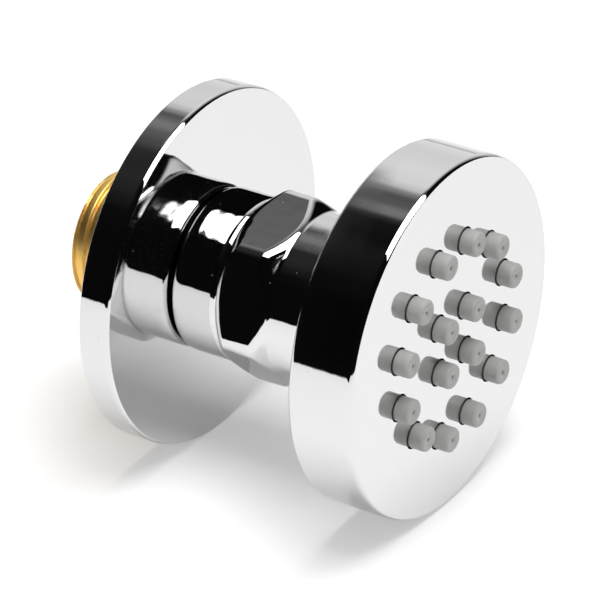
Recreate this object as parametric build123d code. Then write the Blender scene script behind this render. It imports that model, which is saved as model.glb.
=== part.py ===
from build123d import *
import math
import os

# A swivelling shower body jet, in millimetres. The wall is the plane Y = 0. The inlet thread runs
# into the wall along +Y, and the spray leaves the wall along -Y. Turned pieces are laid out by
# their distance in front of the wall, called forward here, which grows along -Y.

# Clearances
running_clearance = 0.05
ball_clearance = 0.10
loose_clearance = 0.15
seating_gap = 0.05
swing_clearance = 0.30

# Inlet core: half inch pipe thread, shank, water bore and ball socket
inlet_thread_diameter = 20.955
inlet_thread_length = 15.0
inlet_thread_overrun = 0.1
inlet_thread_chamfer = 1.2
shank_diameter = 21.4
water_bore_diameter = 10.0
inlet_pocket_diameter = 16.4
inlet_pocket_depth = 6.5
hex_key_size = 11.0
hex_key_depth = 6.0

# Strainer and flow regulator in the inlet pocket
strainer_recess = 0.5
strainer_washer_thickness = 1.9
strainer_washer_bore = 12.4
strainer_mesh_thickness = 0.3
strainer_wire = 0.3
strainer_wire_spacing = 2.0
regulator_hole_count = 8
regulator_hole_diameter = 1.2
regulator_hole_circle = 8.0
regulator_groove_bore = 5.2
regulator_groove_width = 2.6
regulator_groove_depth = 1.8
regulator_ring_section = 1.5

# Escutcheon: a turned cover plate, open towards the wall
escutcheon_diameter = 55.6
escutcheon_thickness = 5.2
escutcheon_wall = 1.5
escutcheon_face = 1.4
escutcheon_edge_radius = 0.75
escutcheon_back_radius = 0.2
escutcheon_inner_radius = 0.8
escutcheon_hub_wall = 3.4
escutcheon_hub_recess = 0.4
grip_ring_section = 1.8
grip_ring_forward = 2.6

# Neck sleeve over the core
shoulder_gap = 0.4
neck_diameter = 25.4
neck_length = 7.9
neck_edge_radius = 0.4
neck_wall = 1.25

# Collar nut: hexagon with both ends turned to a cone, and a round skirt
nut_thread_diameter = 22.0
nut_thread_length = 7.0
nut_across_flats = 26.0
nut_corner_radius = 0.8
nut_corner_angle = -44.4
nut_back_cone_length = 2.3
nut_hexagon_length = 5.2
nut_front_cone_length = 1.6
nut_skirt_diameter = 25.9
nut_lip_thickness = 2.2
nut_front_chamfer = 0.7
nut_cavity_gap = 0.3
core_land_setback = 0.3
core_front_chamfer = 0.6

# Ball joint
ball_diameter = 18.0
ball_ahead_of_core = 3.5
ball_bore_diameter = 7.0
ball_key_size = 7.6
ball_key_depth = 4.0
ball_flat_depth = 0.7
ball_throat_radius = 0.8
stem_diameter = 11.0
tilt_limit = 20.0
seat_bore_diameter = 11.2
seat_wall = 1.7
seat_side_play = 0.2
seat_recess = 0.2
seat_spring_ring_section = 1.6
slip_ring_back_gap = 0.6
slip_ring_reach_share = 0.385
slip_ring_wall = 1.5
slip_washer_thickness = 0.5

# Spray head
head_swing_gap = 1.4
head_diameter = 55.0
head_thickness = 10.6
head_wall = 1.5
head_face = 1.5
head_edge_radius = 0.35
cover_recess = 0.3
cover_thickness = 2.4
cover_ring_section = 1.5
cover_hub_diameter = 16.0
cover_hub_proud = 0.8
cover_hub_lip = 0.8
cover_hub_edge_radius = 0.4
stem_washer_thickness = 0.7
stem_washer_bore = 8.0
stem_engagement = 3.5
spanner_hole_diameter = 3.0
spanner_hole_circle = 40.0
spanner_hole_depth = 1.2
plate_thickness = 1.5
plate_post_count = 6
plate_post_diameter = 3.0
plate_post_inset = 3.0
plate_cone_diameter = 7.0
plate_cone_height = 1.0
plate_cone_tip_diameter = 1.5

# Nozzles: one soft mat with every nozzle on it
mat_thickness = 1.7
outer_nozzle_count = 12
outer_nozzle_circle = 30.0
inner_nozzle_count = 4
inner_nozzle_circle = 10.5
nozzle_pattern_angle = 12.4
nozzle_diameter = 3.8
nozzle_length = 2.6
nozzle_tip_radius = 0.5
nozzle_outlet_diameter = 1.1
nozzle_outlet_length = 1.0
nozzle_inlet_diameter = 2.4
nozzle_hole_clearance = 0.2

# Places along the axis, worked out from the sizes
tilt = math.radians(tilt_limit)
ball_radius = ball_diameter / 2
seat_sphere_radius = ball_radius + ball_clearance
inlet_back = -inlet_thread_length
pocket_floor = inlet_back + inlet_pocket_depth
strainer_back = inlet_back + strainer_recess
mesh_back = strainer_back + strainer_washer_thickness
regulator_back = mesh_back + strainer_mesh_thickness
neck_back = escutcheon_thickness + shoulder_gap
neck_front = neck_back + neck_length
hexagon_back = neck_front + nut_back_cone_length
hexagon_front = hexagon_back + nut_hexagon_length
skirt_back = hexagon_front + nut_front_cone_length
core_front = neck_front + nut_thread_length
ball_centre = core_front + ball_ahead_of_core
seat_bore_reach = math.sqrt(seat_sphere_radius**2 - (seat_bore_diameter / 2) ** 2)
seat_back = ball_centre - seat_bore_reach - seat_wall
socket_floor = seat_back - seat_spring_ring_section - 2 * seating_gap
slip_back = ball_centre + slip_ring_back_gap
slip_front = ball_centre + slip_ring_reach_share * seat_sphere_radius
nut_lip_back = slip_front + slip_washer_thickness + seating_gap
nut_front = nut_lip_back + nut_lip_thickness
nut_rim_swing = (nut_front - ball_centre) * math.cos(tilt) + nut_skirt_diameter / 2 * math.sin(tilt)
head_back = ball_centre + nut_rim_swing + head_swing_gap
head_front = head_back + head_thickness
face_back = head_front - head_face
mat_back = face_back - mat_thickness
plate_back = mat_back - plate_thickness
cover_back = head_back + cover_recess
cover_front = cover_back + cover_thickness
hub_back = head_back - cover_hub_proud
stem_front = hub_back + stem_engagement
hub_front = stem_front + stem_washer_thickness + cover_hub_lip

# Radii that several pieces share
thread_radius = inlet_thread_diameter / 2
shank_radius = shank_diameter / 2
water_bore_radius = water_bore_diameter / 2
pocket_radius = inlet_pocket_diameter / 2
neck_radius = neck_diameter / 2
land_radius = neck_radius - neck_wall
nut_thread_radius = nut_thread_diameter / 2
stem_radius = stem_diameter / 2
seat_radius = ball_radius + seat_side_play
socket_radius = seat_radius + running_clearance
slip_radius = seat_sphere_radius + slip_ring_wall
ball_radius_at_lip = math.sqrt(seat_sphere_radius**2 - (nut_lip_back - ball_centre) ** 2)
stem_swing_radius = stem_radius / math.cos(tilt) + (nut_front - ball_centre) * math.tan(tilt)
lip_opening_radius = max(stem_swing_radius, ball_radius_at_lip) + swing_clearance
head_radius = head_diameter / 2
head_inner_radius = head_radius - head_wall


def turned(*outline, rounds=()):
    """Turn an outline of (forward, radius) points about the axis, rounding the corners named."""
    face = make_face(Polyline(*[(radius, -forward) for forward, radius in outline], close=True))
    for forward, radius, rounding in rounds:
        corner = face.vertices().sort_by_distance((radius, -forward))[0]
        face = fillet(corner, rounding)
    return revolve(face, Axis.Y)


def rod(back, front, radius):
    return Pos(0, -(back + front) / 2, 0) * Rot(90, 0, 0) * Cylinder(radius, front - back)


def tube(back, front, bore_radius, radius):
    return turned((back, bore_radius), (back, radius), (front, radius), (front, bore_radius))


def round_ring(forward, radius, section):
    return Pos(0, -forward, 0) * Rot(90, 0, 0) * Torus(radius, section / 2)


def hexagon_bar(back, front, across_flats, corner_angle=0, corner_rounding=0):
    """Make a hexagonal bar whose first corner stands at an angle from +Z towards +X."""
    outline = RegularPolygon(across_flats / 2, 6, major_radius=False, rotation=90 - corner_angle)
    if corner_rounding:
        outline = fillet(outline.vertices(), corner_rounding)
    bar = extrude(outline, front - back)
    return Pos(0, -back, 0) * Rot(90, 0, 0) * bar


def ball_space():
    """The spherical space that the seat and the slip ring leave for the ball."""
    return Pos(0, -ball_centre, 0) * Sphere(seat_sphere_radius)


def on_circle(count, diameter, first_angle=0):
    """Places on a circle about the axis, at angles from +Z towards +X."""
    angles = [math.radians(first_angle + 360 * index / count) for index in range(count)]
    return [Pos(diameter / 2 * math.sin(angle), 0, diameter / 2 * math.cos(angle)) for angle in angles]


def nozzle_places():
    outer = on_circle(outer_nozzle_count, outer_nozzle_circle, nozzle_pattern_angle)
    inner_angle = nozzle_pattern_angle + 360 / outer_nozzle_count
    return outer + on_circle(inner_nozzle_count, inner_nozzle_circle, inner_angle)


def inlet_core():
    """Brass body: pipe thread, shank, land for the sleeve, nut thread and ball socket."""
    land_back = neck_back + core_land_setback
    body = turned(
        (inlet_back, pocket_radius),
        (inlet_back, thread_radius - inlet_thread_chamfer),
        (inlet_back + inlet_thread_chamfer, thread_radius),
        (inlet_thread_overrun, thread_radius),
        (inlet_thread_overrun, shank_radius),
        (land_back, shank_radius),
        (land_back, land_radius),
        (neck_front, land_radius),
        (neck_front, nut_thread_radius),
        (core_front - core_front_chamfer, nut_thread_radius),
        (core_front, nut_thread_radius - core_front_chamfer),
        (core_front, socket_radius),
        (socket_floor, socket_radius),
        (socket_floor, water_bore_radius),
        (pocket_floor, water_bore_radius),
        (pocket_floor, pocket_radius),
    )
    return body - hexagon_bar(socket_floor - hex_key_depth, socket_floor, hex_key_size)


def strainer_washer():
    """Rubber washer that seals the inlet and holds the strainer mesh down."""
    return tube(strainer_back, mesh_back, strainer_washer_bore / 2, pocket_radius - loose_clearance)


def strainer_mesh():
    """Stainless disc with a rim and crossed wires."""
    rim_radius = pocket_radius - loose_clearance
    open_radius = strainer_washer_bore / 2
    wire_count = 2 * int(open_radius / strainer_wire_spacing) + 1
    wires = Sketch()
    for index in range(wire_count):
        offset = (index - (wire_count - 1) / 2) * strainer_wire_spacing
        wires += Pos(offset, 0) * Rectangle(strainer_wire, 2 * rim_radius)
        wires += Pos(0, offset) * Rectangle(2 * rim_radius, strainer_wire)
    disc = (wires & Circle(rim_radius)) + (Circle(rim_radius) - Circle(open_radius))
    return Pos(0, -mesh_back, 0) * Rot(90, 0, 0) * extrude(disc, strainer_mesh_thickness)


def flow_regulator():
    """Moulded disc whose holes are throttled by the soft ring in its groove."""
    groove_bore = regulator_groove_bore / 2
    groove_floor = regulator_back + regulator_groove_depth
    body = rod(regulator_back, pocket_floor, pocket_radius - loose_clearance)
    body -= tube(regulator_back, groove_floor, groove_bore, groove_bore + regulator_groove_width)
    for place in on_circle(regulator_hole_count, regulator_hole_circle):
        body -= place * rod(regulator_back, pocket_floor, regulator_hole_diameter / 2)
    return body


def regulator_ring():
    ring_radius = regulator_groove_bore / 2 + seating_gap + regulator_ring_section / 2
    ring_forward = regulator_back + regulator_groove_depth - seating_gap - regulator_ring_section / 2
    return round_ring(ring_forward, ring_radius, regulator_ring_section)


def escutcheon():
    """Cover plate turned hollow from the wall side, with a hub grooved for its grip ring."""
    radius = escutcheon_diameter / 2
    inner_radius = radius - escutcheon_wall
    bore_radius = shank_radius + loose_clearance
    hub_radius = bore_radius + escutcheon_hub_wall
    inner_face = escutcheon_thickness - escutcheon_face
    body = turned(
        (0, inner_radius),
        (0, radius),
        (escutcheon_thickness, radius),
        (escutcheon_thickness, bore_radius),
        (escutcheon_hub_recess, bore_radius),
        (escutcheon_hub_recess, hub_radius),
        (inner_face, hub_radius),
        (inner_face, inner_radius),
        rounds=(
            (escutcheon_thickness, radius, escutcheon_edge_radius),
            (0, radius, escutcheon_back_radius),
            (inner_face, inner_radius, escutcheon_inner_radius),
            (inner_face, hub_radius, escutcheon_inner_radius),
        ),
    )
    groove_half_width = grip_ring_section / 2 + running_clearance
    groove_radius = grip_ring_radius() + grip_ring_section / 2 + running_clearance
    groove = tube(
        grip_ring_forward - groove_half_width,
        grip_ring_forward + groove_half_width,
        shank_radius,
        groove_radius,
    )
    return body - groove


def grip_ring_radius():
    return shank_radius + running_clearance + grip_ring_section / 2


def grip_ring():
    """Soft ring in the escutcheon's hub that holds it on the shank."""
    return round_ring(grip_ring_forward, grip_ring_radius(), grip_ring_section)


def neck_sleeve():
    """Plated sleeve pressed over the core's land."""
    bore_radius = land_radius + seating_gap
    return turned(
        (neck_back, bore_radius),
        (neck_back, neck_radius),
        (neck_front - seating_gap, neck_radius),
        (neck_front - seating_gap, bore_radius),
        rounds=((neck_back, neck_radius, neck_edge_radius),),
    )


def seat_spring_ring():
    """Soft ring that presses the ball seat forward and seals behind it."""
    key_corner_radius = hex_key_size / 2 / math.cos(math.pi / 6)
    ring_radius = (key_corner_radius + socket_radius) / 2
    ring_forward = socket_floor + seating_gap + seat_spring_ring_section / 2
    return round_ring(ring_forward, ring_radius, seat_spring_ring_section)


def ball_seat():
    """Slippery seat ring with a hollow that follows the ball."""
    return tube(seat_back, core_front - seat_recess, seat_bore_diameter / 2, seat_radius) - ball_space()


def swivel_ball():
    """Ball and hollow stem in one, with a hexagonal key socket at its back."""
    ball_back = ball_centre - ball_radius
    flat = ball_back + ball_flat_depth
    bore_radius = ball_bore_diameter / 2
    outline = Pos(0, -ball_centre) * Circle(ball_radius)
    outline += Pos(0, -(ball_centre + stem_front) / 2) * Rectangle(stem_diameter, stem_front - ball_centre)
    wall_width = ball_diameter
    wall = Rectangle(wall_width, stem_front - flat)
    outline &= Pos(bore_radius + wall_width / 2, -(flat + stem_front) / 2) * wall
    throat_reach = math.sqrt(ball_radius**2 - stem_radius**2)
    throat = outline.vertices().sort_by_distance((stem_radius, -ball_centre - throat_reach))[0]
    body = revolve(fillet(throat, ball_throat_radius), Axis.Y)
    return body - hexagon_bar(ball_back, flat + ball_key_depth, ball_key_size)


def slip_ring():
    """Front bearing ring between the ball and the collar nut."""
    return rod(slip_back, slip_front, slip_radius) - ball_space()


def slip_washer():
    """Thin washer that lets the nut turn without turning the slip ring."""
    return tube(slip_front, slip_front + slip_washer_thickness, lip_opening_radius, slip_radius)


def collar_nut():
    """Hexagon nut with both ends turned to a cone, a round skirt and an inner lip."""
    corner_radius = nut_across_flats / 2 / math.cos(math.pi / 6)
    skirt_radius = nut_skirt_diameter / 2
    thread_bore_radius = nut_thread_radius + running_clearance
    cavity_radius = slip_radius + running_clearance
    cavity_back = core_front + nut_cavity_gap
    blank = turned(
        (neck_front, thread_bore_radius),
        (neck_front, neck_radius),
        (hexagon_back, corner_radius),
        (hexagon_front, corner_radius),
        (skirt_back, skirt_radius),
        (nut_front - nut_front_chamfer, skirt_radius),
        (nut_front, skirt_radius - nut_front_chamfer),
        (nut_front, lip_opening_radius),
        (nut_lip_back, lip_opening_radius),
        (nut_lip_back, cavity_radius),
        (cavity_back, cavity_radius),
        (cavity_back, thread_bore_radius),
    )
    bar = hexagon_bar(neck_front, nut_front, nut_across_flats, nut_corner_angle, nut_corner_radius)
    return blank & bar


def stem_washer():
    """Flat washer that seals the end of the stem in the head."""
    return tube(stem_front, stem_front + stem_washer_thickness, stem_washer_bore / 2, stem_radius)


def back_cover():
    """Screwed-in back of the head, with the stem's hub, a seal groove and two spanner holes."""
    cover_radius = head_inner_radius - seating_gap
    bore_radius = stem_radius + running_clearance
    hub_radius = cover_hub_diameter / 2
    lip_back = stem_front + stem_washer_thickness
    body = turned(
        (hub_back, bore_radius),
        (hub_back, hub_radius),
        (cover_back, hub_radius),
        (cover_back, cover_radius),
        (cover_front, cover_radius),
        (cover_front, hub_radius),
        (hub_front, hub_radius),
        (hub_front, stem_washer_bore / 2),
        (lip_back, stem_washer_bore / 2),
        (lip_back, bore_radius),
        rounds=(
            (hub_back, hub_radius, cover_hub_edge_radius),
            (cover_front, hub_radius, cover_hub_edge_radius),
        ),
    )
    groove_back = cover_ring_forward() - cover_ring_section / 2 - seating_gap
    groove_front = cover_ring_forward() + cover_ring_section / 2 + seating_gap
    groove_floor_radius = cover_ring_radius() - cover_ring_section / 2 - seating_gap
    body -= tube(groove_back, groove_front, groove_floor_radius, head_inner_radius)
    for place in on_circle(2, spanner_hole_circle, 90):
        body -= place * rod(cover_back, cover_back + spanner_hole_depth, spanner_hole_diameter / 2)
    return body


def cover_ring_radius():
    return head_inner_radius - seating_gap - cover_ring_section / 2


def cover_ring_forward():
    return (cover_back + cover_front) / 2


def cover_ring():
    """Soft seal in the back cover's groove."""
    return round_ring(cover_ring_forward(), cover_ring_radius(), cover_ring_section)


def water_plate():
    """Moulded plate that backs the mat, spreads the water and stands on the cover by its posts."""
    body = rod(plate_back, mat_back - seating_gap, head_inner_radius - loose_clearance)
    for place in nozzle_places():
        body -= place * rod(plate_back, mat_back, nozzle_inlet_diameter / 2)
    for place in on_circle(plate_post_count, 2 * (head_inner_radius - plate_post_inset)):
        body += place * rod(cover_front + seating_gap, plate_back, plate_post_diameter / 2)
    cone_radius = plate_cone_diameter / 2
    tip_radius = plate_cone_tip_diameter / 2
    cone_back = plate_back - plate_cone_height
    cone = turned((cone_back, 0), (cone_back, tip_radius), (plate_back, cone_radius), (plate_back, 0))
    return body + cone


def nozzle():
    """One soft nozzle, from the back of the mat to its rounded tip, on the axis."""
    tip = head_front + nozzle_length
    outlet_radius = nozzle_outlet_diameter / 2
    return turned(
        (mat_back, nozzle_inlet_diameter / 2),
        (mat_back, nozzle_diameter / 2),
        (tip, nozzle_diameter / 2),
        (tip, outlet_radius),
        (tip - nozzle_outlet_length, outlet_radius),
        rounds=((tip, nozzle_diameter / 2, nozzle_tip_radius),),
    )


def nozzle_mat():
    """Soft mat behind the face with all the nozzles moulded on it."""
    mat = rod(mat_back, face_back - seating_gap, head_inner_radius - loose_clearance)
    template = nozzle()
    for place in nozzle_places():
        mat -= place * rod(mat_back, face_back, nozzle_diameter / 2)
        mat += place * template
    return mat


def head_shell():
    """Plated cup with the spray face, its nozzle holes and an open back for the cover."""
    body = turned(
        (head_back, head_inner_radius),
        (head_back, head_radius),
        (head_front, head_radius),
        (head_front, 0),
        (face_back, 0),
        (face_back, head_inner_radius),
        rounds=(
            (head_front, head_radius, head_edge_radius),
            (head_back, head_radius, head_edge_radius),
        ),
    )
    hole_radius = nozzle_diameter / 2 + nozzle_hole_clearance
    for place in nozzle_places():
        body -= place * rod(face_back, head_front, hole_radius)
    return body


nodes = {
    "inlet_core": inlet_core,
    "strainer_washer": strainer_washer,
    "strainer_mesh": strainer_mesh,
    "flow_regulator": flow_regulator,
    "regulator_ring": regulator_ring,
    "escutcheon": escutcheon,
    "grip_ring": grip_ring,
    "neck_sleeve": neck_sleeve,
    "seat_spring_ring": seat_spring_ring,
    "ball_seat": ball_seat,
    "swivel_ball": swivel_ball,
    "slip_ring": slip_ring,
    "slip_washer": slip_washer,
    "collar_nut": collar_nut,
    "stem_washer": stem_washer,
    "back_cover": back_cover,
    "cover_ring": cover_ring,
    "water_plate": water_plate,
    "nozzle_mat": nozzle_mat,
    "head_shell": head_shell,
}

os.makedirs("parts", exist_ok=True)
for name, make in nodes.items():
    export_step(make(), f"parts/{name}.step")
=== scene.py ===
import math

import bmesh
import bpy
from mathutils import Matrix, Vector


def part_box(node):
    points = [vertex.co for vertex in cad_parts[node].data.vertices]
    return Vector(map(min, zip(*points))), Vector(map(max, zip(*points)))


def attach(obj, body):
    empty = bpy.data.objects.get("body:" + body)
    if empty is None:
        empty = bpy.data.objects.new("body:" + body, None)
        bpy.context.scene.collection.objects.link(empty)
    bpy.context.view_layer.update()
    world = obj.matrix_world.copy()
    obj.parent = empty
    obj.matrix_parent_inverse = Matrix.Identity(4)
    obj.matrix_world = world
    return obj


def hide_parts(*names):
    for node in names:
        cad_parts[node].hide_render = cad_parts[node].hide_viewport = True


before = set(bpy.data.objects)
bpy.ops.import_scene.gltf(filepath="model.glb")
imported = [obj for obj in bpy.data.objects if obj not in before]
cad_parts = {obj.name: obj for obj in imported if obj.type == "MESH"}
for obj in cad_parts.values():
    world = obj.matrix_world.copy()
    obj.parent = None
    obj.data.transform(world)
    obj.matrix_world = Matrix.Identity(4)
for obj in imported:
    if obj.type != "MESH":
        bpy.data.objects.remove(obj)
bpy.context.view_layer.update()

# Camera
# A long lens looks down on the jet from the front left, as the photograph was taken.
# The aim point lies on the jet's axis, in front of the wall.
camera_azimuth = math.radians(-57.34)
camera_elevation = math.radians(28.56)
camera_distance = 0.5669
camera_aim = Vector((0, -0.02357, 0))
focal_pixels = 3846.3
photo_pixels = 600
aim_offset_x = 19.36
aim_offset_y = -1.45


def towards(azimuth, elevation):
    """The direction at an azimuth from the jet's front towards its right, and an elevation."""
    level = math.cos(elevation)
    return Vector((math.sin(azimuth) * level, -math.cos(azimuth) * level, math.sin(elevation)))


away = towards(camera_azimuth, camera_elevation)
bpy.ops.object.select_all(action="DESELECT")
bpy.ops.object.camera_add(
    location=camera_aim + away * camera_distance,
    rotation=away.to_track_quat("Z", "Y").to_euler(),
)
camera = bpy.context.object
camera.data.sensor_width = 36
camera.data.lens = focal_pixels / photo_pixels * camera.data.sensor_width
camera.data.shift_x = -aim_offset_x / photo_pixels
camera.data.shift_y = aim_offset_y / photo_pixels
camera.data.clip_end = 20
bpy.context.scene.camera = camera
bpy.context.scene.view_settings.view_transform = "Standard"

# Floor
# The jet stands on the rims of its two discs on a white table, which keeps its shadow. The paint
# glows a little to the camera and in the plating, and a little more to the camera alone, so that
# it looks white.
floor_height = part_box("escutcheon")[0].z - 0.0001
floor_radius = 4.0
floor_white = 0.93
floor_lift = 0.14
floor_lift_to_camera = 0.13


def shown_rays(nodes, links):
    """One where a ray comes from the camera, a glossy face or glass, and nothing otherwise."""
    rays = nodes.new("ShaderNodeLightPath")
    either = nodes.new("ShaderNodeMath")
    either.operation = "MAXIMUM"
    links.new(rays.outputs["Is Camera Ray"], either.inputs[0])
    links.new(rays.outputs["Is Glossy Ray"], either.inputs[1])
    shown = nodes.new("ShaderNodeMath")
    shown.operation = "MAXIMUM"
    links.new(either.outputs["Value"], shown.inputs[0])
    links.new(rays.outputs["Is Transmission Ray"], shown.inputs[1])
    return shown.outputs["Value"]


table_paint = bpy.data.materials.new("table_paint")
table_paint.use_nodes = True
nodes, links = table_paint.node_tree.nodes, table_paint.node_tree.links
paint = nodes["Principled BSDF"]
paint.inputs["Base Color"].default_value = (floor_white, floor_white, floor_white, 1)
paint.inputs["Roughness"].default_value = 0.9
paint.inputs["Specular IOR Level"].default_value = 0
lift = nodes.new("ShaderNodeMath")
lift.operation = "MULTIPLY"
lift.inputs[1].default_value = floor_lift
links.new(shown_rays(nodes, links), lift.inputs[0])
seen = nodes.new("ShaderNodeLightPath")
whiten = nodes.new("ShaderNodeMath")
whiten.operation = "MULTIPLY_ADD"
whiten.inputs[1].default_value = floor_lift_to_camera
links.new(seen.outputs["Is Camera Ray"], whiten.inputs[0])
links.new(lift.outputs["Value"], whiten.inputs[2])
paint.inputs["Emission Color"].default_value = (1, 1, 1, 1)
links.new(whiten.outputs["Value"], paint.inputs["Emission Strength"])
bpy.ops.object.select_all(action="DESELECT")
bpy.ops.mesh.primitive_circle_add(
    vertices=96, radius=floor_radius, fill_type="NGON", location=(0, 0, floor_height),
)
floor = bpy.context.object
floor.name = "floor"
floor.data.materials.append(table_paint)
bpy.ops.object.transform_apply(location=True)

# Tent
# A dark tent stands round the table and shows only in the plating. It turns grey over the top and
# pale behind on the right, and its black skirt lies on the table. The rims of the head and of the
# cover plate mirror two rings of it, each with tones of its own.
tent_radius = 1.6
tent_foot = 0.001
skirt_top = 0.002
plating_shine = 0.79
tent_black = 0.003
tones_behind_plate = (
    (-58, 8), (-42, 11), (-34, 23), (-26, 33), (-18, 38), (-10, 36), (-1, 40), (7, 69), (15, 86),
    (21, 112), (24, 114), (28, 96), (32, 80), (36, 130), (40, 182), (45, 203), (56, 205), (72, 201),
    (90, 209), (112, 218),
)
tones_behind_head = (
    (-58, 5), (-42, 12), (-34, 18), (-22, 23), (-12, 15), (-1, 20), (3, 44), (6, 110), (9, 112),
    (14, 82), (20, 76), (24, 116), (29, 192), (34, 208), (48, 212), (60, 206), (72, 203), (90, 211),
    (112, 220),
)
last_tone = (125, 5)
ring_in_head = 0.442
ring_in_plate = 0.458
front_cloth_ends = -0.05
back_cloth_starts = 0.25


def tone_ramp(nodes, links, turn, tones):
    """The tent's own light by the angle from above to the right, from greys seen in the plating."""
    ramp = nodes.new("ShaderNodeValToRGB")
    ramp.color_ramp.interpolation = "EASE"
    stops = ramp.color_ramp.elements
    for stop in stops:
        stop.color = (tent_black, tent_black, tent_black, 1)
    for angle, grey in (*tones, last_tone):
        light = ((grey / 255 + 0.055) / 1.055) ** 2.4 / plating_shine
        stops.new(0.5 + angle / 360).color = (light, light, light, 1)
    links.new(turn, ramp.inputs["Fac"])
    return ramp.outputs["Color"]


def skirt_reach(bearing):
    """How far from the jet the black skirt starts on the table. Behind on the right there is none."""
    if 75 < bearing < 150:
        return tent_radius * 0.98
    if 150 <= bearing < 280:
        return 0.245
    return 0.48


bpy.ops.object.select_all(action="DESELECT")
bpy.ops.mesh.primitive_uv_sphere_add(
    segments=180, ring_count=120, radius=tent_radius, location=(0, 0, floor_height),
)
tent = bpy.context.object
tent.name = "tent"
bpy.ops.object.transform_apply(location=True)
bpy.ops.object.mode_set(mode="EDIT")
bpy.ops.mesh.select_all(action="SELECT")
bpy.ops.mesh.bisect(plane_co=(0, 0, floor_height + tent_foot), plane_no=(0, 0, 1), clear_inner=True)
bpy.ops.mesh.select_all(action="SELECT")
bpy.ops.mesh.flip_normals()
bpy.ops.mesh.select_all(action="DESELECT")
bpy.ops.mesh.select_non_manifold()
bpy.ops.mesh.extrude_edges_move()
mesh = bmesh.from_edit_mesh(tent.data)
for vertex in mesh.verts:
    if vertex.select:
        reach = skirt_reach(math.degrees(math.atan2(vertex.co.x, -vertex.co.y)) % 360)
        spread = reach / math.hypot(vertex.co.x, vertex.co.y)
        vertex.co.x *= spread
        vertex.co.y *= spread
bmesh.update_edit_mesh(tent.data)
bpy.ops.object.mode_set(mode="OBJECT")
tent_cloth = bpy.data.materials.new("tent_cloth")
tent_cloth.use_nodes = True
nodes, links = tent_cloth.node_tree.nodes, tent_cloth.node_tree.links
nodes.remove(nodes["Principled BSDF"])
place = nodes.new("ShaderNodeTexCoord")
height = nodes.new("ShaderNodeSeparateXYZ")
links.new(place.outputs["Object"], height.inputs["Vector"])
off_table = nodes.new("ShaderNodeMath")
off_table.operation = "GREATER_THAN"
off_table.inputs[1].default_value = floor_height + skirt_top
links.new(height.outputs["Z"], off_table.inputs[0])
turn = nodes.new("ShaderNodeMath")
turn.operation = "ARCTAN2"
links.new(height.outputs["X"], turn.inputs[0])
links.new(height.outputs["Z"], turn.inputs[1])
share = nodes.new("ShaderNodeMath")
share.operation = "MULTIPLY_ADD"
share.inputs[1].default_value = 0.5 / math.pi
share.inputs[2].default_value = 0.5
links.new(turn.outputs["Value"], share.inputs[0])
unit = nodes.new("ShaderNodeVectorMath")
unit.operation = "NORMALIZE"
links.new(place.outputs["Object"], unit.inputs[0])
back = nodes.new("ShaderNodeSeparateXYZ")
links.new(unit.outputs["Vector"], back.inputs["Vector"])
past_head = nodes.new("ShaderNodeMapRange")
past_head.inputs["From Min"].default_value = ring_in_head
past_head.inputs["From Max"].default_value = ring_in_plate
links.new(back.outputs["Y"], past_head.inputs["Value"])
behind_both = nodes.new("ShaderNodeMix")
behind_both.data_type = "RGBA"
links.new(past_head.outputs["Result"], behind_both.inputs["Factor"])
for side, tones in (("A", tones_behind_head), ("B", tones_behind_plate)):
    links.new(tone_ramp(nodes, links, share.outputs["Value"], tones), behind_both.inputs[side])
behind = nodes.new("ShaderNodeMapRange")
behind.inputs["From Min"].default_value = front_cloth_ends
behind.inputs["From Max"].default_value = back_cloth_starts
links.new(back.outputs["Y"], behind.inputs["Value"])
lit = nodes.new("ShaderNodeMath")
lit.operation = "MULTIPLY"
links.new(behind.outputs["Result"], lit.inputs[0])
links.new(off_table.outputs["Value"], lit.inputs[1])
tone = nodes.new("ShaderNodeMix")
tone.data_type = "RGBA"
tone.inputs["A"].default_value = (tent_black, tent_black, tent_black, 1)
links.new(lit.outputs["Value"], tone.inputs["Factor"])
links.new(behind_both.outputs["Result"], tone.inputs["B"])
cloth = nodes.new("ShaderNodeEmission")
links.new(tone.outputs["Result"], cloth.inputs["Color"])
links.new(cloth.outputs["Emission"], nodes["Material Output"].inputs["Surface"])
tent.data.materials.append(tent_cloth)
tent.visible_camera = False
tent.visible_diffuse = False
tent.visible_shadow = False

# Lamps
# One softbox stands above and in front, and shows as a white window in the neck. A wide panel
# overhead softens the shadow and doesn't show in the plating.
softbox_distance = 0.75
softbox_direction = towards(0, math.radians(80.9))
softbox_shift = Vector((-0.012, 0, 0))
softbox_width = 0.6
softbox_depth = 0.56
softbox_watts = 4.6
panel_place = (-0.2, -0.3, 1.3)
panel_width = 2.4
panel_watts = 5.3
room_light = 0.2
bpy.ops.object.select_all(action="DESELECT")
bpy.ops.object.light_add(type="AREA")
softbox = bpy.context.object
softbox.name = "softbox"
softbox.data.shape = "RECTANGLE"
softbox.data.size = softbox_width
softbox.data.size_y = softbox_depth
softbox.data.energy = softbox_watts
softbox.location = camera_aim + softbox_distance * softbox_direction + softbox_shift
softbox.rotation_euler = softbox_direction.to_track_quat("Z", "Y").to_euler()

bpy.ops.object.light_add(type="AREA", location=panel_place)
panel = bpy.context.object
panel.name = "overhead_panel"
panel.data.shape = "DISK"
panel.data.size = panel_width
panel.data.energy = panel_watts
panel.visible_glossy = False
panel.rotation_euler = (panel.location - camera_aim).to_track_quat("Z", "Y").to_euler()

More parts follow.
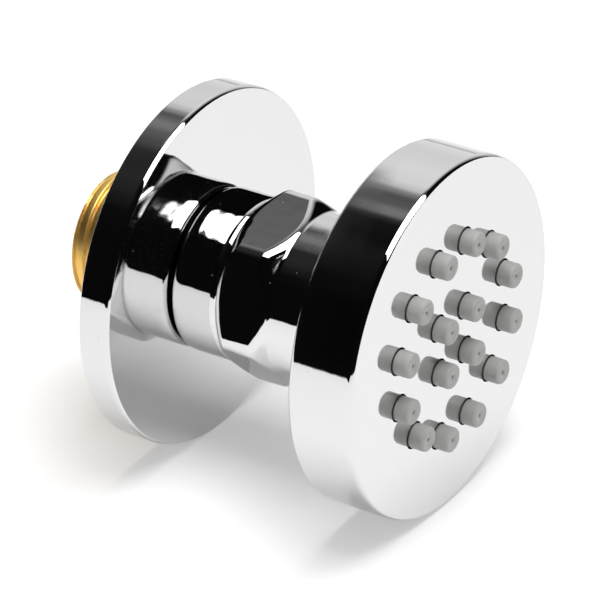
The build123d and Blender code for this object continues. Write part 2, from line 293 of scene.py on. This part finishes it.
world = bpy.data.worlds.new("studio")
bpy.context.scene.world = world
world.use_nodes = True
nodes, links = world.node_tree.nodes, world.node_tree.links
white = nodes["Background"]
white.inputs["Color"].default_value = (1, 1, 1, 1)
white.inputs["Strength"].default_value = 1
fill = nodes.new("ShaderNodeBackground")
fill.inputs["Color"].default_value = (1, 1, 1, 1)
fill.inputs["Strength"].default_value = room_light
choose = nodes.new("ShaderNodeMixShader")
links.new(shown_rays(nodes, links), choose.inputs["Fac"])
links.new(fill.outputs["Background"], choose.inputs[1])
links.new(white.outputs["Background"], choose.inputs[2])
links.new(choose.outputs["Shader"], nodes["World Output"].inputs["Surface"])

# Inlet core
# A bar of brass, turned and bored, with a half inch pipe thread cut on the end that screws into
# the wall. It is left bare: the neck sleeve covers the rest, but for a sliver at the cover plate,
# which is darkened as painted shade in the gap.
MM = 0.001
thread_pitch = 1.814
thread_depth = 0.45
thread_radius = 10.4775
thread_back = -15
thread_front = 0.04
thread_start_turn = -0.625
thread_rows = 144
chamfer_length = 1.2
chamfer_depth = 1.7
pocket_radius = 8.2
gap_shade_starts = 0.5
gap_shade_full = 2.5


def turned(name, section, steps=192, corner_segments=6):
    """Spin a section of (forward, radius, rounding) corners, in millimetres, about the jet's axis."""
    bpy.ops.object.select_all(action="DESELECT")
    bpy.ops.mesh.primitive_circle_add(vertices=len(section), radius=0.01, fill_type="NGON")
    piece = bpy.context.object
    piece.name = name
    for vertex, (forward, radius, rounding) in zip(piece.data.vertices, section):
        vertex.co = (radius * MM, -forward * MM, 0)
    bpy.ops.object.mode_set(mode="EDIT")
    bpy.ops.mesh.select_mode(type="VERT")
    mesh = bmesh.from_edit_mesh(piece.data)
    for forward, radius, rounding in section:
        if rounding:
            corner = Vector((radius * MM, -forward * MM, 0))
            for vertex in mesh.verts:
                vertex.select_set((vertex.co - corner).length < 1e-7)
            mesh.select_flush_mode()
            bmesh.update_edit_mesh(piece.data)
            bpy.ops.mesh.bevel(offset=rounding * MM, segments=corner_segments, affect="VERTICES")
            mesh = bmesh.from_edit_mesh(piece.data)
    on_axis = [edge for edge in mesh.edges if all(vertex.co.x < 1e-8 for vertex in edge.verts)]
    bmesh.ops.delete(mesh, geom=list(mesh.faces), context="FACES_ONLY")
    bmesh.ops.delete(mesh, geom=on_axis, context="EDGES")
    bmesh.update_edit_mesh(piece.data)
    bpy.ops.mesh.select_all(action="SELECT")
    bpy.ops.mesh.spin(steps=steps, angle=2 * math.pi, center=(0, 0, 0), axis=(0, 1, 0))
    bpy.ops.mesh.select_all(action="SELECT")
    bpy.ops.mesh.remove_doubles(threshold=1e-7)
    bpy.ops.mesh.normals_make_consistent(inside=False)
    bpy.ops.object.mode_set(mode="OBJECT")
    return piece


def join(pieces):
    """Make several meshes one piece, which keeps the first one's name."""
    bpy.ops.object.select_all(action="DESELECT")
    for piece in pieces:
        piece.select_set(True)
    bpy.context.view_layer.objects.active = pieces[0]
    bpy.ops.object.join()


def finish(piece, body, slot, material, *nodes, smooth_angle=32):
    """Smooth a piece but for its sharp edges, and give it its material, body and nodes; the slot is
    not used.
    """
    bpy.ops.object.select_all(action="DESELECT")
    piece.select_set(True)
    bpy.context.view_layer.objects.active = piece
    bpy.ops.object.shade_smooth_by_angle(angle=math.radians(smooth_angle))
    flats = piece.modifiers.new("flats", "WEIGHTED_NORMAL")
    flats.keep_sharp = True
    bpy.ops.object.modifier_apply(modifier="flats")
    piece.data.materials.clear()
    piece.data.materials.append(material)
    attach(piece, body)
    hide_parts(*nodes)


fine_wear = bpy.data.node_groups.new("fine_wear", "ShaderNodeTree")
for name in ("Roughness", "Smudging", "Waviness", "Wave Size", "Scratches"):
    fine_wear.interface.new_socket(name, in_out="INPUT", socket_type="NodeSocketFloat")
for name in ("Roughness", "Dust", "Tone"):
    fine_wear.interface.new_socket(name, in_out="OUTPUT", socket_type="NodeSocketFloat")
fine_wear.interface.new_socket("Normal", in_out="OUTPUT", socket_type="NodeSocketVector")
nodes, links = fine_wear.nodes, fine_wear.links
given = nodes.new("NodeGroupInput")
result = nodes.new("NodeGroupOutput")
place = nodes.new("ShaderNodeTexCoord")
smudge = nodes.new("ShaderNodeTexNoise")
smudge.inputs["Scale"].default_value = 130
smudge.inputs["Detail"].default_value = 5
smudged = nodes.new("ShaderNodeMath")
smudged.operation = "MULTIPLY_ADD"
links.new(place.outputs["Object"], smudge.inputs["Vector"])
links.new(smudge.outputs["Fac"], smudged.inputs[0])
links.new(given.outputs["Smudging"], smudged.inputs[1])
links.new(given.outputs["Roughness"], smudged.inputs[2])
links.new(smudged.outputs["Value"], result.inputs["Roughness"])
links.new(smudge.outputs["Fac"], result.inputs["Tone"])
wave = nodes.new("ShaderNodeTexNoise")
wave.inputs["Detail"].default_value = 1
links.new(place.outputs["Object"], wave.inputs["Vector"])
links.new(given.outputs["Wave Size"], wave.inputs["Scale"])
hollows = nodes.new("ShaderNodeBump")
hollows.inputs["Distance"].default_value = 0.0003
links.new(wave.outputs["Fac"], hollows.inputs["Height"])
links.new(given.outputs["Waviness"], hollows.inputs["Strength"])
stretch = nodes.new("ShaderNodeMapping")
stretch.inputs["Rotation"].default_value = (0.3, 0.5, 0.8)
stretch.inputs["Scale"].default_value = (9000, 900, 9000)
links.new(place.outputs["Object"], stretch.inputs["Vector"])
scratch = nodes.new("ShaderNodeTexNoise")
scratch.inputs["Scale"].default_value = 1
scratch.inputs["Detail"].default_value = 2
links.new(stretch.outputs["Vector"], scratch.inputs["Vector"])
scratches = nodes.new("ShaderNodeBump")
scratches.inputs["Distance"].default_value = 0.00001
links.new(scratch.outputs["Fac"], scratches.inputs["Height"])
links.new(given.outputs["Scratches"], scratches.inputs["Strength"])
links.new(hollows.outputs["Normal"], scratches.inputs["Normal"])
links.new(scratches.outputs["Normal"], result.inputs["Normal"])
specks = nodes.new("ShaderNodeTexVoronoi")
specks.inputs["Scale"].default_value = 900
links.new(place.outputs["Object"], specks.inputs["Vector"])
near = nodes.new("ShaderNodeMapRange")
near.inputs["From Min"].default_value = 0.09
near.inputs["From Max"].default_value = 0.04
links.new(specks.outputs["Distance"], near.inputs["Value"])
few = nodes.new("ShaderNodeMath")
few.operation = "GREATER_THAN"
few.inputs[1].default_value = 0.8
links.new(specks.outputs["Color"], few.inputs[0])
speck = nodes.new("ShaderNodeMath")
speck.operation = "MULTIPLY"
links.new(near.outputs["Result"], speck.inputs[0])
links.new(few.outputs["Value"], speck.inputs[1])
links.new(speck.outputs["Value"], result.inputs["Dust"])


def worn(
    name, color, metallic, roughness, smudging, waviness, wave_size, scratches,
    dust=0.0, mottling=0.0,
):
    """A material whose roughness, tone, dust and bump come from the shared fine wear."""
    material = bpy.data.materials.new(name)
    material.use_nodes = True
    nodes, links = material.node_tree.nodes, material.node_tree.links
    shader = nodes["Principled BSDF"]
    shader.inputs["Metallic"].default_value = metallic
    wear = nodes.new("ShaderNodeGroup")
    wear.node_tree = fine_wear
    wear.inputs["Roughness"].default_value = roughness
    wear.inputs["Smudging"].default_value = smudging
    wear.inputs["Waviness"].default_value = waviness
    wear.inputs["Wave Size"].default_value = wave_size
    wear.inputs["Scratches"].default_value = scratches
    links.new(wear.outputs["Roughness"], shader.inputs["Roughness"])
    links.new(wear.outputs["Normal"], shader.inputs["Normal"])
    tone = nodes.new("ShaderNodeMapRange")
    tone.inputs["To Min"].default_value = 1 - mottling
    tone.inputs["To Max"].default_value = 1 + mottling
    links.new(wear.outputs["Tone"], tone.inputs["Value"])
    mottled = nodes.new("ShaderNodeVectorMath")
    mottled.operation = "SCALE"
    mottled.inputs["Vector"].default_value = color
    links.new(tone.outputs["Result"], mottled.inputs["Scale"])
    dusted = nodes.new("ShaderNodeMix")
    dusted.data_type = "RGBA"
    dusted.inputs["B"].default_value = (0.5, 0.5, 0.5, 1)
    amount = nodes.new("ShaderNodeMath")
    amount.operation = "MULTIPLY"
    amount.inputs[1].default_value = dust
    links.new(wear.outputs["Dust"], amount.inputs[0])
    links.new(amount.outputs["Value"], dusted.inputs["Factor"])
    links.new(mottled.outputs["Vector"], dusted.inputs["A"])
    links.new(dusted.outputs["Result"], shader.inputs["Base Color"])
    if metallic and dust:
        bare = nodes.new("ShaderNodeMath")
        bare.operation = "SUBTRACT"
        bare.inputs[0].default_value = metallic
        links.new(amount.outputs["Value"], bare.inputs[1])
        links.new(bare.outputs["Value"], shader.inputs["Metallic"])
    return material


def along_axis(nodes, links):
    """Where a surface point lies along the jet's axis, in metres towards the wall."""
    place = nodes.new("ShaderNodeTexCoord")
    parts = nodes.new("ShaderNodeSeparateXYZ")
    links.new(place.outputs["Object"], parts.inputs["Vector"])
    return parts.outputs["Y"]


def tint(material, mask, color):
    """Give a worn material another colour where a mask is one."""
    nodes, links = material.node_tree.nodes, material.node_tree.links
    base = nodes["Principled BSDF"].inputs["Base Color"]
    tinted = nodes.new("ShaderNodeMix")
    tinted.data_type = "RGBA"
    tinted.inputs["B"].default_value = color
    links.new(mask, tinted.inputs["Factor"])
    links.new(base.links[0].from_socket, tinted.inputs["A"])
    links.new(tinted.outputs["Result"], base)


brass = worn("bare_brass", (1.0, 0.64, 0.19), 1.0, 0.36, 0.12, 0.15, 600, 0.6, mottling=0.16)
nodes, links = brass.node_tree.nodes, brass.node_tree.links
# Painted shade: the brass is darkened towards the gap between the cover plate and the sleeve.
gap_shade = nodes.new("ShaderNodeMapRange")
gap_shade.inputs["From Min"].default_value = -gap_shade_starts * MM
gap_shade.inputs["From Max"].default_value = -gap_shade_full * MM
links.new(along_axis(nodes, links), gap_shade.inputs["Value"])
tint(brass, gap_shade.outputs["Result"], (0.025, 0.017, 0.01, 1))
row_height = (thread_front - thread_back) / thread_rows
core = turned("inlet_core", (
    (thread_back, pocket_radius, 0),
    *((thread_back + row_height * row, thread_radius, 0) for row in range(thread_rows + 1)),
    (thread_front, pocket_radius, 0),
), steps=144)
for vertex in core.data.vertices:
    radius = math.hypot(vertex.co.x, vertex.co.z) / MM
    if radius > pocket_radius + 0.1:
        around = math.atan2(vertex.co.x, vertex.co.z) / (2 * math.pi)
        turns = vertex.co.y / MM / thread_pitch - around + thread_start_turn
        groove = thread_depth * (0.5 + 0.5 * math.cos(2 * math.pi * turns)) ** 5
        from_back = -thread_back - vertex.co.y / MM
        chamfered = thread_radius - chamfer_depth + from_back * chamfer_depth / chamfer_length
        cut_to = min(thread_radius - groove, chamfered) / radius
        vertex.co = (vertex.co.x * cut_to, vertex.co.y, vertex.co.z * cut_to)
core_front = turned("core_front", (
    (thread_front - 0.01, pocket_radius, 0),
    (thread_front - 0.01, 10.7, 0.1),
    (5.9, 10.7, 0.1),
    (5.9, 11.45, 0.1),
    (13.5, 11.45, 0.1),
    (13.5, 11.0, 0),
    (20.5, 11.0, 0.6),
    (20.5, 9.25, 0),
    (13.56, 9.25, 0),
    (13.56, 5.0, 0),
    (-8.5, 5.0, 0),
    (-8.5, pocket_radius, 0),
), steps=144)
join([core, core_front])
finish(core, "wall_core", "brass_core", brass, "inlet_core", smooth_angle=45)

# Cover plate
# A brass disc turned hollow from the wall side, with a hub that slides on the core. It is polished
# and chrome plated, and its front edge is rounded over.
chrome_color = (0.79, 0.79, 0.795)
chrome = worn("chrome_plate", chrome_color, 1.0, 0.012, 0.03, 0.05, 160, 0.1, dust=0.7)


def rolled_edge(front, radius, roll, steps=12):
    """Corners of a front edge that polishing has rolled over by a third of a right angle or so."""
    rolled = math.radians(36)
    start = front - roll * math.sin(rolled)
    edge = []
    for step in range(steps + 1):
        angle = rolled * step / steps
        rounding = 0.05 if step == steps else 0
        inwards = roll * (1 - math.cos(angle))
        edge.append((start + roll * math.sin(angle), radius - inwards, rounding))
    return edge


plate_radius = 27.8
plate_front = 5.2
plate_wall = 1.5
plate = turned("escutcheon", (
    (0, plate_radius - plate_wall, 0.1),
    (0, plate_radius, 0.2),
    *rolled_edge(plate_front, plate_radius, 1.6),
    (plate_front, 10.85, 0.1),
    (3.55, 10.85, 0),
    (3.55, 12.6, 0),
    (1.65, 12.6, 0),
    (1.65, 10.85, 0),
    (0.4, 10.85, 0.1),
    (0.4, 14.25, 0.1),
    (3.8, 14.25, 0.8),
    (3.8, plate_radius - plate_wall, 0.8),
), steps=256)
finish(plate, "cover_plate", "chrome_plate", chrome, "escutcheon")

# Neck sleeve
# A thin chrome plated sleeve pressed over the core. Its back edge is eased, and shows as a dark
# line against the cover plate.
neck_chrome = worn("neck_chrome", chrome_color, 1.0, 0.012, 0.03, 0.08, 330, 0.1, dust=0.8)
sleeve = turned("neck_sleeve", (
    (5.6, 11.5, 0.1),
    (5.6, 11.9, 0),
    (5.66, 12.18, 0),
    (5.8, 12.4, 0),
    (6.05, 12.56, 0),
    (6.4, 12.65, 0),
    (6.9, 12.69, 0),
    (7.6, 12.7, 0),
    (12.2, 12.7, 0),
    (12.8, 12.68, 0),
    (13.2, 12.63, 0),
    (13.48, 12.5, 0),
    (13.48, 11.5, 0),
))
finish(sleeve, "wall_core", "chrome_plate", neck_chrome, "neck_sleeve")

# Collar nut
# A length of hexagon bar, bored and threaded, with both ends of the hexagon turned to a cone and
# a round skirt that holds the ball in. Polishing before plating has softened its edges.
nut_back = 13.5
nut_hexagon_back = 15.8
nut_hexagon_front = 20.2
nut_corner_radius = 15.01
nut_cone_front = 22.8
nut_skirt_radius = 12.95
nut_flat_reach = 13.0
nut_corner_angle = math.radians(-44.4)
nut_corner_softness = 1.3
nut_back_softness = 0.6
nut_front_softness = 0.75
nut = turned("collar_nut", (
    (nut_back, 11.05, 0),
    (nut_back, 12.7, 0.2),
    (nut_hexagon_back, nut_corner_radius, 0),
    (nut_hexagon_front, nut_corner_radius, 0),
    (nut_cone_front, nut_skirt_radius, 0.3),
    (29.55, nut_skirt_radius, 0.3),
    (30.25, 12.25, 0.2),
    (30.25, 8.45, 0.2),
    (28.05, 8.45, 0),
    (28.05, 10.65, 0),
    (20.8, 10.65, 0),
    (20.8, 11.05, 0),
), steps=288)
bpy.ops.object.mode_set(mode="EDIT")
bpy.ops.mesh.select_mode(type="EDGE")
rings_between = (
    (nut_back + 0.2, nut_hexagon_back, 19),
    (nut_hexagon_back, nut_hexagon_front, 35),
    (nut_hexagon_front, nut_cone_front - 0.15, 22),
)
for first, last, cuts in rings_between:
    mesh = bmesh.from_edit_mesh(nut.data)
    for edge in mesh.edges:
        ends = sorted(-vertex.co.y / MM for vertex in edge.verts)
        outside = all(math.hypot(vertex.co.x, vertex.co.z) > 12.5 * MM for vertex in edge.verts)
        inside_span = first - 0.2 < ends[0] and ends[1] < last + 0.2
        edge.select_set(outside and inside_span and ends[1] - ends[0] > 0.5)
    bmesh.update_edit_mesh(nut.data)
    bpy.ops.mesh.subdivide(number_cuts=cuts)
bpy.ops.object.mode_set(mode="OBJECT")


def soft_lower(first, second, softness):
    """The lower of two heights, with the corner between them rounded."""
    nearness = max(softness - abs(first - second), 0) / softness
    return min(first, second) - nearness * nearness * softness / 4


for vertex in nut.data.vertices:
    radius = math.hypot(vertex.co.x, vertex.co.z) / MM
    forward = -vertex.co.y / MM
    if radius > 12.2 and forward > nut_back + 0.1:
        angle = math.atan2(vertex.co.x, vertex.co.z) - nut_corner_angle
        from_flat = (angle % math.radians(60)) - math.radians(30)
        reach = nut_flat_reach / math.cos(from_flat)
        next_reach = nut_flat_reach / math.cos(math.radians(60) - abs(from_flat))
        hexagon = soft_lower(reach, next_reach, nut_corner_softness)
        share_forward = (forward - nut_hexagon_back) / (nut_hexagon_front - nut_hexagon_back)
        share_forward = min(1, max(0, share_forward))
        edge_softness = nut_back_softness + (nut_front_softness - nut_back_softness) * share_forward
        new_radius = soft_lower(hexagon, radius, edge_softness)
        vertex.co.x *= new_radius / radius
        vertex.co.z *= new_radius / radius
nut_chrome = worn("nut_chrome", chrome_color, 1.0, 0.015, 0.03, 0.08, 330, 0.1, dust=0.8)
finish(nut, "collar", "chrome_plate", nut_chrome, "collar_nut", smooth_angle=40)

# Spray head
# A polished and chrome plated brass cup, with sixteen drilled holes in its flat face and an open
# back for the cover. Its hole walls are darkened as painted shade.
head_radius = 27.5
head_wall = 1.5
head_back = 35.7
head_face_front = 46.3
head_face_back = 44.8
hole_shade_depth = 0.1
hole_radius = 2.1
head = turned("head_shell", (
    (head_back, head_radius - head_wall, 0.1),
    (head_back, head_radius, 0.8),
    *rolled_edge(head_face_front, head_radius, 1.7),
    (head_face_front, 0, 0),
    (head_face_back, 0, 0),
    (head_face_back, head_radius - head_wall, 0),
), steps=256)
bpy.ops.object.select_all(action="DESELECT")
head.select_set(True)
bpy.context.view_layer.objects.active = head
bpy.ops.object.mode_set(mode="EDIT")
bpy.ops.mesh.select_all(action="SELECT")
bpy.ops.mesh.dissolve_limited(angle_limit=math.radians(0.2))
bpy.ops.object.mode_set(mode="OBJECT")


def drill(piece, tool):
    """Cut a tool's shape out of a piece, then put the tool away."""
    hole = piece.modifiers.new("hole", "BOOLEAN")
    hole.operation = "DIFFERENCE"
    hole.solver = "EXACT"
    hole.object = tool
    bpy.ops.object.select_all(action="DESELECT")
    bpy.context.view_layer.objects.active = piece
    bpy.ops.object.modifier_apply(modifier="hole")
    bpy.data.objects.remove(tool)


def nozzle_places():
    """Places of the nozzles to the right and up, in millimetres, on an outer and an inner circle."""
    places = []
    for count, diameter, first_angle in ((12, 30.0, 12.4), (4, 10.5, 42.4)):
        for index in range(count):
            angle = math.radians(first_angle + 360 * index / count)
            places.append((diameter / 2 * math.sin(angle), diameter / 2 * math.cos(angle)))
    return places


drill_length = 6
drill_middle = 45.5
drills = []
for right, up in nozzle_places():
    bpy.ops.object.select_all(action="DESELECT")
    bpy.ops.mesh.primitive_cylinder_add(
        vertices=64, radius=hole_radius * MM, depth=drill_length * MM,
        location=(right * MM, -drill_middle * MM, up * MM), rotation=(math.pi / 2, 0, 0),
    )
    bpy.ops.object.transform_apply()
    drills.append(bpy.context.object)
join(drills)
drill(head, drills[0])
bpy.ops.object.select_all(action="DESELECT")
bpy.context.view_layer.objects.active = head
eased = head.modifiers.new("eased", "BEVEL")
eased.width = 0.08 * MM
eased.segments = 3
eased.limit_method = "ANGLE"
eased.angle_limit = math.radians(40)
bpy.ops.object.modifier_apply(modifier="eased")
head_chrome = worn("head_chrome", chrome_color, 1.0, 0.012, 0.03, 0.05, 160, 0.1, dust=0.7)
nodes, links = head_chrome.node_tree.nodes, head_chrome.node_tree.links
# Painted shade: the hole walls below the face are darkened.
under_face = nodes.new("ShaderNodeMath")
under_face.operation = "GREATER_THAN"
under_face.inputs[1].default_value = (hole_shade_depth - head_face_front) * MM
links.new(along_axis(nodes, links), under_face.inputs[0])
place = nodes.new("ShaderNodeTexCoord")
flattened = nodes.new("ShaderNodeVectorMath")
flattened.operation = "MULTIPLY"
flattened.inputs[1].default_value = (1, 0, 1)
links.new(place.outputs["Object"], flattened.inputs[0])
from_axis = nodes.new("ShaderNodeVectorMath")
from_axis.operation = "LENGTH"
links.new(flattened.outputs["Vector"], from_axis.inputs[0])
within_rim = nodes.new("ShaderNodeMath")
within_rim.operation = "LESS_THAN"
within_rim.inputs[1].default_value = (head_radius - head_wall - 1) * MM
links.new(from_axis.outputs["Value"], within_rim.inputs[0])
in_hole = nodes.new("ShaderNodeMath")
in_hole.operation = "MULTIPLY"
links.new(under_face.outputs["Value"], in_hole.inputs[0])
links.new(within_rim.outputs["Value"], in_hole.inputs[1])
tint(head_chrome, in_hole.outputs["Value"], (0.03, 0.03, 0.03, 1))
finish(head, "spray_head", "chrome_plate", head_chrome, "head_shell")

# Back cover
# A turned and plated disc screwed into the back of the head, with a hub for the stem and two
# blind holes for a pin spanner.
cover = turned("back_cover", (
    (34.9, 5.55, 0.1),
    (34.9, 8.0, 0.4),
    (36.0, 8.0, 0.15),
    (36.0, 25.95, 0.1),
    (36.4, 25.95, 0),
    (36.4, 24.4, 0),
    (38.0, 24.4, 0),
    (38.0, 25.95, 0),
    (38.4, 25.95, 0),
    (38.4, 8.0, 0.4),
    (39.9, 8.0, 0),
    (39.9, 4.0, 0),
    (39.1, 4.0, 0),
    (39.1, 5.55, 0),
))
spanner_hole_radius = 1.5
spanner_hole_from_axis = 20
spanner_drill_middle = 36
spanner_drill_length = 2.4
for side in (-1, 1):
    bpy.ops.object.select_all(action="DESELECT")
    bpy.ops.mesh.primitive_cylinder_add(
        vertices=64, radius=spanner_hole_radius * MM, depth=spanner_drill_length * MM,
        location=(side * spanner_hole_from_axis * MM, -spanner_drill_middle * MM, 0),
        rotation=(math.pi / 2, 0, 0),
    )
    bpy.ops.object.transform_apply()
    drill(cover, bpy.context.object)
finish(cover, "spray_head", "chrome_plate", chrome, "back_cover")

# Nozzle mat
# One soft grey moulding lies behind the face. Each of its sixteen nozzles stands out through a
# drilled hole, with a rounded tip and a small dimpled outlet. Painted shade darkens it up to a
# shallow groove at the face.
nozzle_shade_front = 46.42
silicone = worn("grey_silicone", (0.47, 0.47, 0.455), 0.0, 0.42, 0.12, 0.15, 900, 0.5, mottling=0.05)
nodes, links = silicone.node_tree.nodes, silicone.node_tree.links
rubbery = nodes["Principled BSDF"]
rubbery.inputs["Subsurface Weight"].default_value = 0.25
rubbery.inputs["Subsurface Radius"].default_value = (1, 1, 1)
rubbery.inputs["Subsurface Scale"].default_value = 0.4 * MM
# Painted shade: the silicone is darkened from just past the face backwards, in the holes.
nozzle_shade = nodes.new("ShaderNodeMath")
nozzle_shade.operation = "GREATER_THAN"
nozzle_shade.inputs[1].default_value = -nozzle_shade_front * MM
links.new(along_axis(nodes, links), nozzle_shade.inputs[0])
tint(silicone, nozzle_shade.outputs["Value"], (0.1, 0.1, 0.097, 1))
nozzle = turned("nozzle", (
    (43.15, 1.2, 0),
    (43.15, 1.9, 0),
    (45.9, 1.9, 0),
    (46.0, 1.75, 0.1),
    (46.35, 1.75, 0.1),
    (46.45, 1.9, 0.1),
    (48.9, 1.9, 0.5),
    (48.9, 0.9, 0.3),
    (48.65, 0.25, 0.1),
    (47.6, 0.2, 0),
    (47.4, 1.2, 0),
), steps=64)
mat = turned("nozzle_mat", (
    (43.1, 0, 0),
    (43.1, 25.85, 0.2),
    (44.75, 25.85, 0.2),
    (44.75, 0, 0),
), steps=128)
nozzles = []
for right, up in nozzle_places():
    copy = nozzle.copy()
    copy.data = nozzle.data.copy()
    bpy.context.collection.objects.link(copy)
    copy.location = (right * MM, 0, up * MM)
    nozzles.append(copy)
bpy.data.objects.remove(nozzle)
bpy.ops.object.select_all(action="DESELECT")
for copy in nozzles:
    copy.select_set(True)
bpy.context.view_layer.objects.active = nozzles[0]
bpy.ops.object.transform_apply()
join([mat] + nozzles)
finish(mat, "spray_head", "grey_silicone", silicone, "nozzle_mat", smooth_angle=45)

# Ball and stem
# The ball and its hollow stem are one turned and plated piece. It shows only in the gap between
# the nut and the head.
def dress(material, *names):
    """Give a material to pieces whose solids already have their full shape."""
    for name in names:
        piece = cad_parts[name]
        piece.data.materials.clear()
        piece.data.materials.append(material)


dress(chrome, "swivel_ball")

# Bearings
# The ball runs in a white acetal seat and a slip ring, which are turned from rod. A thin acetal
# washer lies between the slip ring and the nut's lip.
acetal = worn("white_acetal", (0.8, 0.8, 0.77), 0.0, 0.32, 0.15, 0.1, 900, 0.8, mottling=0.04)
dress(acetal, "ball_seat", "slip_ring", "slip_washer")

# Rubber rings and washers
# The grip ring, the spring ring, the stem washer, the cover seal and the strainer washer are
# black rubber, moulded with a fine grain.
rubber = worn(
    "black_rubber", (0.018, 0.018, 0.019), 0.0, 0.5, 0.2, 0.5, 3500, 1.0, dust=0.3, mottling=0.15,
)
dress(rubber, "strainer_washer", "regulator_ring", "grip_ring", "seat_spring_ring")
dress(rubber, "stem_washer", "cover_ring")

# Strainer
# A stainless disc of crossed wires keeps grit out of the regulator. It is stamped from woven mesh
# and lies under the strainer washer.
steel = worn("strainer_steel", (0.6, 0.59, 0.57), 1.0, 0.28, 0.2, 0.1, 900, 1.0, mottling=0.08)
dress(steel, "strainer_mesh")

# Flow regulator and water plate
# Both are moulded in a grey engineering plastic. The regulator is pushed into the core behind the
# strainer, and the water plate holds the nozzle mat against the face.
moulding = worn("grey_moulding", (0.3, 0.31, 0.32), 0.0, 0.45, 0.15, 0.3, 1500, 1.0, mottling=0.06)
dress(moulding, "flow_regulator", "water_plate")
